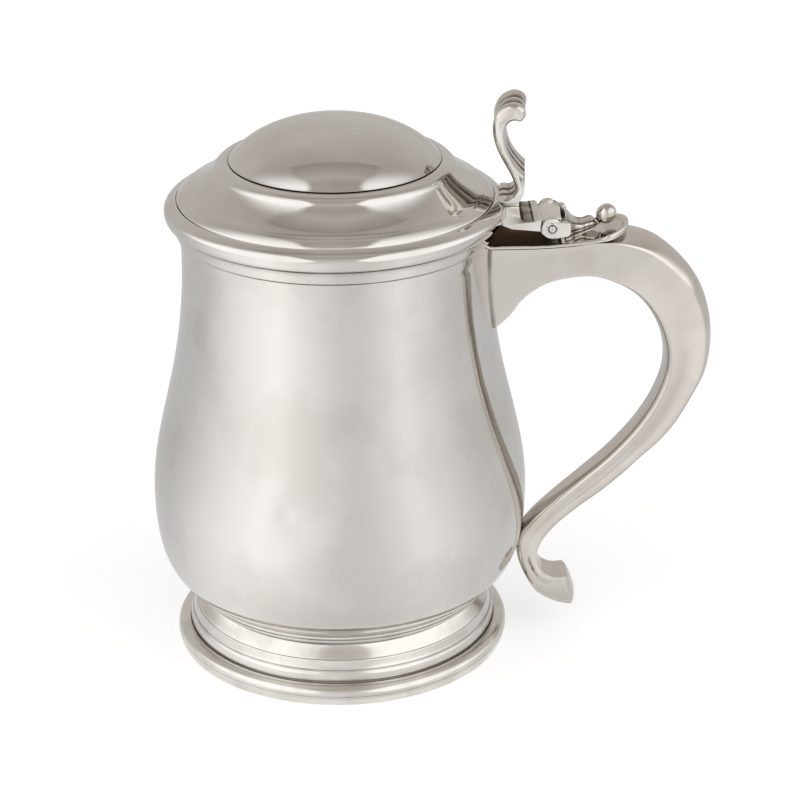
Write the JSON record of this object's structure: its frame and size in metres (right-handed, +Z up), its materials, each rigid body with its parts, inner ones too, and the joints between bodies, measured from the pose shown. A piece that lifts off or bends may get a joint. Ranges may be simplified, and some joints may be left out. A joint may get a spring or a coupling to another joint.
{
  "type": "lidded tankard",
  "caption": "Silver baluster tankard with a hinged domed lid, scroll thumbpiece, hollow scroll handle and moulded foot",
  "frame": {"origin": "On the surface the tankard stands on, under the middle of its bounding box", "axes": "+Z up along the body's axis, +X from the body towards the handle, +Y to the left of someone who faces +X, across the hinge pin"},
  "size_m": [0.18, 0.1212, 0.1834],
  "materials": {
    "polished_silver": "polished sterling silver, softly worn",
    "cast_silver": "cast and chased sterling silver, tarnish left in the recesses"
  },
  "bodies": {
    "vessel": {"vessel_body": "polished_silver", "rim_band": "polished_silver", "foot_spool": "polished_silver", "foot_base_ring": "polished_silver", "handle_back_shell": "polished_silver", "handle_inner_strip": "polished_silver", "handle_top_plate": "polished_silver", "handle_end_shield": "polished_silver", "hinge_standing_leaf": "cast_silver", "hinge_ball": "cast_silver", "hinge_pin": "cast_silver"},
    "lid": {"lid_cover": "polished_silver", "lid_flange": "polished_silver", "lid_bezel": "polished_silver", "lid_leaf": "cast_silver", "thumbpiece": "cast_silver"}
  },
  "joints": [
    {"name": "lid_hinge", "type": "hinge", "parent": "vessel", "child": "lid", "pos_m": [0.03785, 0, 0.1434], "axis": [0, 1, 0], "range_deg": [0, 100]}
  ]
}
